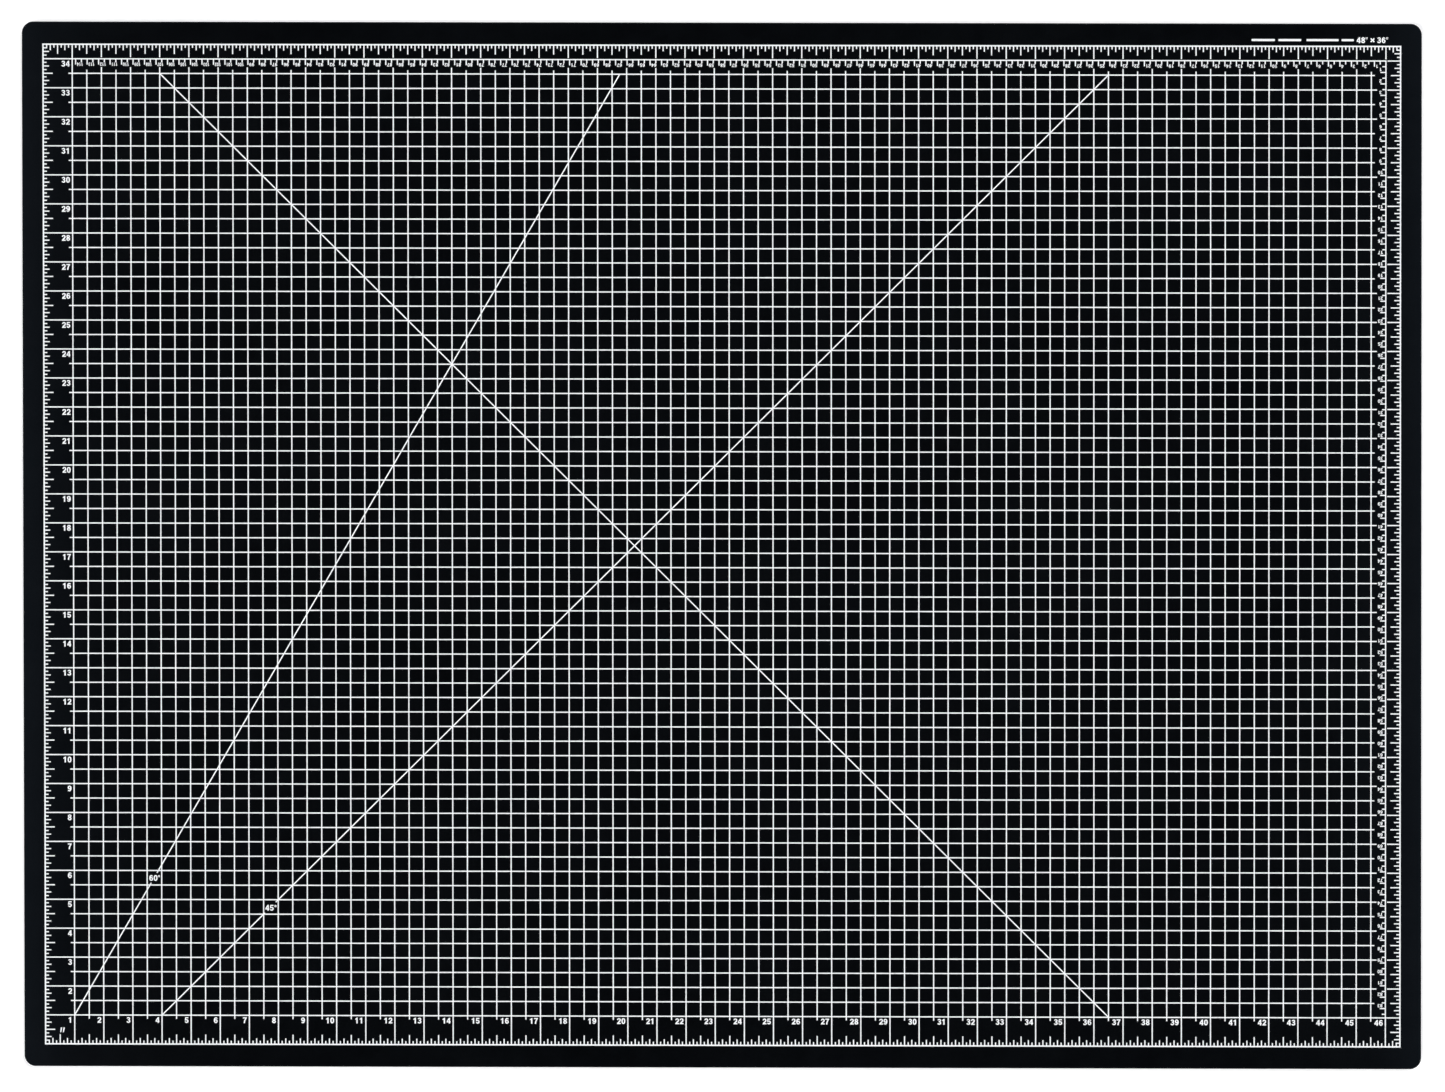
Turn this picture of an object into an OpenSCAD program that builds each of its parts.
// Self healing cutting mat: a five-ply laminated sheet with one white ink print
// on the working face. Inch rulers frame the print, and centimetre rulers run
// left and down from near its top right corner. Three angle lines cross the
// half-inch grid.
// Origin: centre of the underside. X along the long side, Z up.

/* [Sheet] */
// Length of the sheet along X
mat_length = 1218; // [1205:0.5:1260]
// Width of the sheet along Y
mat_width = 915.5; // [900:0.5:960]
// Radius of the die-cut corners
corner_radius = 10; // [4:0.5:16]

/* [Plies] */
// Thickness of each soft PVC skin, top and bottom
skin_thickness = 0.65; // [0.4:0.05:1.2]
// Thickness of each tie ply, between a skin and the core
tie_thickness = 0.45; // [0.3:0.05:0.8]
// Thickness of the rigid core ply
core_thickness = 0.8; // [0.5:0.05:2]

/* [Print] */
// Thickness of the ink film
ink_thickness = 0.05; // [0.03:0.01:0.1]
// Width of the grid lines and of the ruler ticks
grid_line = 1; // [0.8:0.1:1.7]
// Width of the outer frame line
frame_line = 1.2; // [1:0.1:2]
// Width of the angle lines
angle_line = 1; // [0.6:0.1:1.8]
// Height of the inch numerals
inch_numeral = 5.1; // [4:0.1:5.6]
// Height of the centimetre numerals
cm_numeral = 3; // [2.4:0.1:3.1]

/* [Hidden] */
inch = 25.4;
cm = 10;

skin_black = [0.05, 0.06, 0.075];
tie_grey = [0.16, 0.17, 0.18];
core_grey = [0.35, 0.36, 0.37];
ink_white = [0.95, 0.96, 0.97];

// Underside of each ply above the bottom skin, then the working face
z_lower_tie = skin_thickness;
z_core = z_lower_tie + tie_thickness;
z_upper_tie = z_core + core_thickness;
z_top_skin = z_upper_tie + tie_thickness;
z_face = z_top_skin + skin_thickness;

// Size of the print in inches. It sits in the middle of the sheet.
print_length = 46.5;
print_width = 34.5;
// Last inch line each way; the centimetre rulers start where these two cross.
last_x = 46;
last_y = 34;

half_frame = frame_line / 2;
half_grid = grid_line / 2;

// Millimetre place of a point given in inches from the print's bottom left corner
function on_print(x, y) = [(x - print_length / 2) * inch, (y - print_width / 2) * inch];

// ---- plies ----

module rounded_sheet(z, thickness) {
    translate([0, 0, z]) linear_extrude(thickness) {
        square([mat_length - 2 * corner_radius, mat_width], center = true);
        square([mat_length, mat_width - 2 * corner_radius], center = true);
        for (side_x = [-1, 1], side_y = [-1, 1])
            translate([side_x * (mat_length / 2 - corner_radius),
                       side_y * (mat_width / 2 - corner_radius)])
                circle(r = corner_radius, $fn = 96);
    }
}

module bottom_healing_skin() color(skin_black) rounded_sheet(0, skin_thickness);
module lower_tie_ply() color(tie_grey) rounded_sheet(z_lower_tie, tie_thickness);
module rigid_core_ply() color(core_grey) rounded_sheet(z_core, core_thickness);
module upper_tie_ply() color(tie_grey) rounded_sheet(z_upper_tie, tie_thickness);
module top_healing_skin() color(skin_black) rounded_sheet(z_top_skin, skin_thickness);

// ---- ink film ----

module film()
    color(ink_white) translate([0, 0, z_face]) linear_extrude(ink_thickness) children();

// One straight printed bar between two [x, y] points in inches; width in mm
module bar(from, to, width) {
    start = on_print(from[0], from[1]);
    end = on_print(to[0], to[1]);
    run = end - start;
    aside = [-run[1], run[0]] / norm(run) * width / 2;
    polygon([start - aside, end - aside, end + aside, start + aside]);
}

// ---- rulers ----

// Tick lengths from the middle of the ruler's base line
tick_8th = 0.12 * inch;
tick_quarter = 0.205 * inch;
tick_half = 0.33 * inch;
tick_inch = 0.445 * inch;
tick_cm_top = 5;
tick_cm_right = 4.8;
tick_half_cm = 3.05;

// The end ticks of the inch rulers box in each corner. Those of the bottom and
// top rulers reach the far edge of the end tick they meet, and those of the
// left and right rulers stop at its near edge.
corner_long = inch / 8 + half_grid;
corner_short = inch / 8 - half_grid;

// Length of the print's sides in eighths of an inch
eighths_x = print_length * 8;
eighths_y = print_width * 8;

// Centimetres from the start of each centimetre ruler to inch line 1
cm_span_x = (last_x - 1) * inch / cm;
cm_span_y = (last_y - 1) * inch / cm;
half_cms_x = floor(cm_span_x * 2);
half_cms_y = floor(cm_span_y * 2);

// Outline of a ruler: a base line along x from start to end, with a tick rising
// at each [position, length] in ticks, which is in order of position.
function ruler(start, end, base, ticks) = concat(
    [[end, base / 2], [end, -base / 2], [start, -base / 2], [start, base / 2]],
    [for (tick = ticks, corner = [
        [-half_grid, base / 2], [-half_grid, tick[1]],
        [half_grid, tick[1]], [half_grid, base / 2]]) [tick[0] + corner[0], corner[1]]]
);

function inch_tick_length(k, count, corner) =
    k == 1 || k == count - 1 ? corner
    : k % 8 == 0 ? tick_inch
    : k % 4 == 0 ? tick_half
    : k % 2 == 0 ? tick_quarter : tick_8th;

// Ticks along a ruler of count eighths. Grid lines cross the ruler at every
// whole inch, or only at inch 1 where whole_inches is set; no tick goes there.
// With from_end, positions run from the far end of the scale.
function inch_ticks(count, corner, whole_inches = false, from_end = false) = [
    for (i = [1 : count - 1])
        let (k = from_end ? count - i : i)
        if (whole_inches ? k != 8 : k % 8 != 0)
            [i * inch / 8, inch_tick_length(k, count, corner)]
];

module inch_scale_bottom() film() translate(on_print(0, 0))
    polygon(ruler(-half_frame, print_length * inch + half_frame, frame_line,
        inch_ticks(eighths_x, corner_long)));

module inch_scale_top() film() translate(on_print(print_length, print_width)) rotate(180)
    polygon(ruler(-half_frame, print_length * inch + half_frame, frame_line,
        inch_ticks(eighths_x, corner_long, whole_inches = true, from_end = true)));

module inch_scale_left() film() translate(on_print(0, print_width)) rotate(-90)
    polygon(ruler(half_frame, print_width * inch - half_frame, frame_line,
        inch_ticks(eighths_y, corner_short, from_end = true)));

module inch_scale_right() film() translate(on_print(print_length, 0)) rotate(90)
    polygon(ruler(half_frame, print_width * inch - half_frame, frame_line,
        inch_ticks(eighths_y, corner_short, whole_inches = true)));

function cm_tick_length(k, whole) = k % 2 == 0 ? whole : tick_half_cm;

// On the last lengthwise inch line, counted from its right end
module centimetre_scale_top() film() translate(on_print(last_x, last_y)) rotate(180)
    polygon(ruler(-half_grid, last_x * inch - half_frame, grid_line,
        [for (k = [1 : half_cms_x]) [k * cm / 2, cm_tick_length(k, tick_cm_top)]]));

// On the last crosswise inch line, counted from its top end but built upwards
module centimetre_scale_right() film() translate(on_print(last_x, 0)) rotate(90)
    polygon(ruler(half_frame, last_y * inch - half_grid, grid_line,
        [for (i = [0 : half_cms_y - 1]) let (k = half_cms_y - i)
            [last_y * inch - k * cm / 2, cm_tick_length(k, tick_cm_right)]]));

// ---- grid, in inches on the print ----

half_inch_start = 0.87;           // half-inch lines, at the inch rulers
// Open ends of the lines, short of the centimetre rulers
cross_end = last_y - 0.285;
cross_half_end = last_y - 0.375;
length_end = last_x - 0.305;
length_half_end = last_x - 0.38;

frame_edge = half_frame / inch;   // inner edge of the frame line
base_gap = half_grid / inch;      // from a centimetre ruler's axis to its edge

// Inch line 1 each way runs right across the print, and breaks only where it
// crosses the base line of a centimetre ruler.
module inch_lines_crosswise() film() {
    bar([1, frame_edge], [1, last_y - base_gap], grid_line);
    bar([1, last_y + base_gap], [1, print_width - frame_edge], grid_line);
    for (x = [2 : last_x - 1]) bar([x, frame_edge], [x, cross_end], grid_line);
}

module half_inch_lines_crosswise() film()
    for (x = [1.5 : last_x - 0.5]) bar([x, half_inch_start], [x, cross_half_end], grid_line);

module inch_lines_lengthwise() film() {
    bar([frame_edge, 1], [last_x - base_gap, 1], grid_line);
    bar([last_x + base_gap, 1], [print_length - frame_edge, 1], grid_line);
    for (y = [2 : last_y - 1]) bar([frame_edge, y], [length_end, y], grid_line);
}

module half_inch_lines_lengthwise() film()
    for (y = [1.5 : last_y - 0.5]) bar([half_inch_start, y], [length_half_end, y], grid_line);

// ---- angle lines, in inches on the print ----

angle_bottom = 1;
angle_top = last_y - 0.5;
start_45 = 4;   // x of both 45 degree lines at their left ends
start_60 = 1;

// Point at height y on a line that rises from start on the bottom inch line
function on_angle(start, angle, y) = [start + (y - angle_bottom) / tan(angle), y];

// Rising line, left open for its label between two heights
module broken_angle_line(start, angle, gap_bottom, gap_top) {
    bar([start, angle_bottom], on_angle(start, angle, gap_bottom), angle_line);
    bar(on_angle(start, angle, gap_top), on_angle(start, angle, angle_top), angle_line);
}

module angle_line_45_rising() film() broken_angle_line(start_45, 45, 4.545, 4.915);

module angle_line_45_falling() film()
    bar([start_45, angle_top], [start_45 + angle_top - angle_bottom, angle_bottom], angle_line);

module angle_line_60() film() broken_angle_line(start_60, 60, 5.575, 5.92);

// ---- numerals ----

// Block numerals, all in parts of their height
wide = 0.66;
stroke = 0.22;
chamfer = 0.15;
// From one digit to the next
pitch_normal = 0.76;
// Centimetre numbers of three digits are set closer and squeezed.
pitch_narrow = 0.6;
stretch_narrow = 0.8;

function box(x0, y0, x1, y1) = [[x0, y0], [x1, y0], [x1, y1], [x0, y1]];
function half_turned(paths) =
    [for (path = paths) [for (point = path) [wide - point[0], 1 - point[1]]]];

octagon = [
    [chamfer, 0], [wide - chamfer, 0], [wide, chamfer], [wide, 1 - chamfer],
    [wide - chamfer, 1], [chamfer, 1], [0, 1 - chamfer], [0, chamfer]
];

six = [
    [[chamfer, 0], [wide - chamfer, 0], [wide, chamfer], [wide, 0.62 - chamfer],
     [wide - chamfer, 0.62], [stroke, 0.62], [stroke, 1 - stroke], [wide - 0.04, 1 - stroke],
     [wide - 0.04, 1], [chamfer, 1], [0, 1 - chamfer], [0, chamfer]],
    box(stroke, stroke, wide - stroke, 0.44)
];

// Digits 0 to 9; each is an outline of [x, y] points, then its counters
numerals = [
    [octagon, box(stroke, stroke, wide - stroke, 1 - stroke)],
    [[[0.24, 0], [0.46, 0], [0.46, 1], [0.3, 1], [0.06, 0.83], [0.06, 0.65], [0.24, 0.74]]],
    [[[0, 0], [wide, 0], [wide, stroke], [0.3, stroke], [wide, 0.53], [wide, 1 - chamfer],
      [wide - chamfer, 1], [0.04, 1], [0.04, 1 - stroke], [wide - stroke, 1 - stroke],
      [wide - stroke, 0.6], [0, 0.18]]],
    [[[0, 0], [wide - chamfer, 0], [wide, chamfer], [wide, 0.43], [wide - 0.07, 0.5],
      [wide, 0.57], [wide, 1 - chamfer], [wide - chamfer, 1], [0, 1], [0, 1 - stroke],
      [wide - stroke, 1 - stroke], [wide - stroke, 0.59], [0.2, 0.59], [0.2, 0.41],
      [wide - stroke, 0.41], [wide - stroke, stroke], [0, stroke]]],
    [[[0.38, 0], [0.58, 0], [0.58, 0.2], [wide, 0.2], [wide, 0.38], [0.58, 0.38], [0.58, 1],
      [0.34, 1], [0, 0.4], [0, 0.2], [0.38, 0.2]],
     [[0.17, 0.38], [0.38, 0.38], [0.38, 0.76]]],
    [[[0, 0], [wide - chamfer, 0], [wide, chamfer], [wide, 0.63 - chamfer],
      [wide - chamfer, 0.63], [stroke, 0.63], [stroke, 1 - stroke], [wide - 0.03, 1 - stroke],
      [wide - 0.03, 1], [0, 1], [0, 0.45], [wide - stroke, 0.45], [wide - stroke, stroke],
      [0, stroke]]],
    six,
    [[[0.12, 0], [0.34, 0], [wide, 0.84], [wide, 1], [0, 1], [0, 1 - stroke],
      [0.42, 1 - stroke]]],
    [octagon, box(stroke, 0.18, wide - stroke, 0.42), box(stroke, 0.6, wide - stroke, 0.82)],
    half_turned(six)
];

// An outline with its counters cut out
module glyph(paths, size, stretch) {
    points = [for (path = paths, point = path) [point[0] * size * stretch, point[1] * size]];
    starts = [for (i = 0, n = 0; i < len(paths); n = n + len(paths[i]), i = i + 1) n];
    polygon(points, [for (i = [0 : len(paths) - 1])
        [for (j = [0 : len(paths[i]) - 1]) starts[i] + j]]);
}

function digits(n) = n < 10 ? [n] : concat(digits(floor(n / 10)), [n % 10]);

function number_width(n, size, pitch = pitch_normal, stretch = 1) =
    ((len(digits(n)) - 1) * pitch + wide * stretch) * size;

// A number with its bottom left corner at the origin
module number(n, size, pitch = pitch_normal, stretch = 1) {
    row = digits(n);
    for (i = [0 : len(row) - 1])
        translate([i * pitch * size, 0]) glyph(numerals[row[i]], size, stretch);
}

numeral_gap = 0.088 * inch;       // from an inch line to the numeral before it
numeral_drop = 0.07 * inch;       // from an inch line down to the numeral's top

module inch_number(n, x, y)
    translate(on_print(x, y)
              - [numeral_gap + number_width(n, inch_numeral), numeral_drop + inch_numeral])
        number(n, inch_numeral);

module inch_numerals_bottom() film() for (n = [1 : last_x]) inch_number(n, n, 1);

module inch_numerals_left() film() for (n = [2 : last_y]) inch_number(n, 1, n);

// Centimetre numbers are upside down, so that they read from the far side.
cm_side_gap = 1.15;               // from the tick's middle to the number's last digit
cm_drop = tick_half_cm + 0.2;     // clears the half-centimetre ticks
cm_inset = 0.184 * inch;          // from the right ruler to a number's middle

// Below the top ruler, to the right of the number's own tick
module cm_number_top(n) {
    three = n > 99;
    pitch = three ? pitch_narrow : pitch_normal;
    stretch = three ? stretch_narrow : 1;
    translate(on_print(last_x, last_y) + [cm_side_gap - n * cm, -cm_drop])
        rotate(180) translate([-number_width(n, cm_numeral, pitch, stretch), 0])
            number(n, cm_numeral, pitch, stretch);
}

module centimetre_numerals_top() film()
    for (n = [1 : floor(cm_span_x)]) cm_number_top(n);

// Left of the right ruler, midway between its own tick and the half-centimetre
// tick above
module cm_number_right(n)
    translate(on_print(last_x, last_y)
              + [number_width(n, cm_numeral) / 2 - cm_inset,
                 (cm / 2 + cm_numeral) / 2 - n * cm])
        rotate(180) number(n, cm_numeral);

module centimetre_numerals_right() film()
    for (n = [1 : floor(cm_span_y)]) cm_number_right(n);

ring_outer = 1.9;
ring_inner = 0.7;

// Number with its bottom left corner at x, y, and a degree ring centred at ring
module angle_label(angle, x, y, ring) {
    translate(on_print(x, y)) number(angle, inch_numeral);
    translate(on_print(ring[0], ring[1])) difference() {
        circle(d = ring_outer, $fn = 32);
        circle(d = ring_inner, $fn = 32);
    }
}

module angle_label_45() film() angle_label(45, 7.56, 4.62, ring = [7.905, 4.782]);
module angle_label_60() film() angle_label(60, 3.572, 5.642, ring = [3.908, 5.806]);

// ---- margin marks ----

// Double prime, the sign for inches, with its lower left corner at the origin
module double_prime(height)
    for (i = [0, 1]) translate([i * 0.55 * height, 0])
        polygon([[0, 0], [0.2 * height, 0], [0.45 * height, height], [0.12 * height, height]]);

unit_mark_height = 4.2;
module inch_unit_mark() film() translate(on_print(0.5, 0.4)) double_prime(unit_mark_height);

// Nominal size of the sheet, in the margin above the print: [inches, left edge]
sizes = [[48, 45.0], [36, 45.7]];
size_y = print_width + 0.115;
size_prime_gap = 0.4;
size_prime_rise = 0.62 * inch_numeral;
size_prime_height = 0.38 * inch_numeral;
times_x = 45.54;
times_arm = [4.4, 1.1];

module size_numerals() film() {
    for (size = sizes) translate(on_print(size[1], size_y)) {
        number(size[0], inch_numeral);
        translate([number_width(size[0], inch_numeral) + size_prime_gap, size_prime_rise])
            double_prime(size_prime_height);
    }
    translate(on_print(times_x, size_y) + [0, inch_numeral / 2])
        for (angle = [45, -45]) rotate(angle) square(times_arm, center = true);
}

// Row of plain dashes to the left of the size: [left, right] in inches
dashes = [[41.4, 42.2], [42.32, 43.1], [43.28, 44.38], [44.48, 44.9]];
dash_y = size_y + 0.1;
dash_width = 1.9;

module blank_label_dashes() film()
    for (dash = dashes) bar([dash[0], dash_y], [dash[1], dash_y], dash_width);

bottom_healing_skin();
lower_tie_ply();
rigid_core_ply();
upper_tie_ply();
top_healing_skin();
inch_scale_bottom();
inch_scale_left();
inch_scale_top();
inch_scale_right();
centimetre_scale_top();
centimetre_scale_right();
inch_lines_crosswise();
half_inch_lines_crosswise();
inch_lines_lengthwise();
half_inch_lines_lengthwise();
angle_line_45_rising();
angle_line_45_falling();
angle_line_60();
angle_label_45();
angle_label_60();
inch_numerals_bottom();
inch_numerals_left();
centimetre_numerals_top();
centimetre_numerals_right();
inch_unit_mark();
size_numerals();
blank_label_dashes();
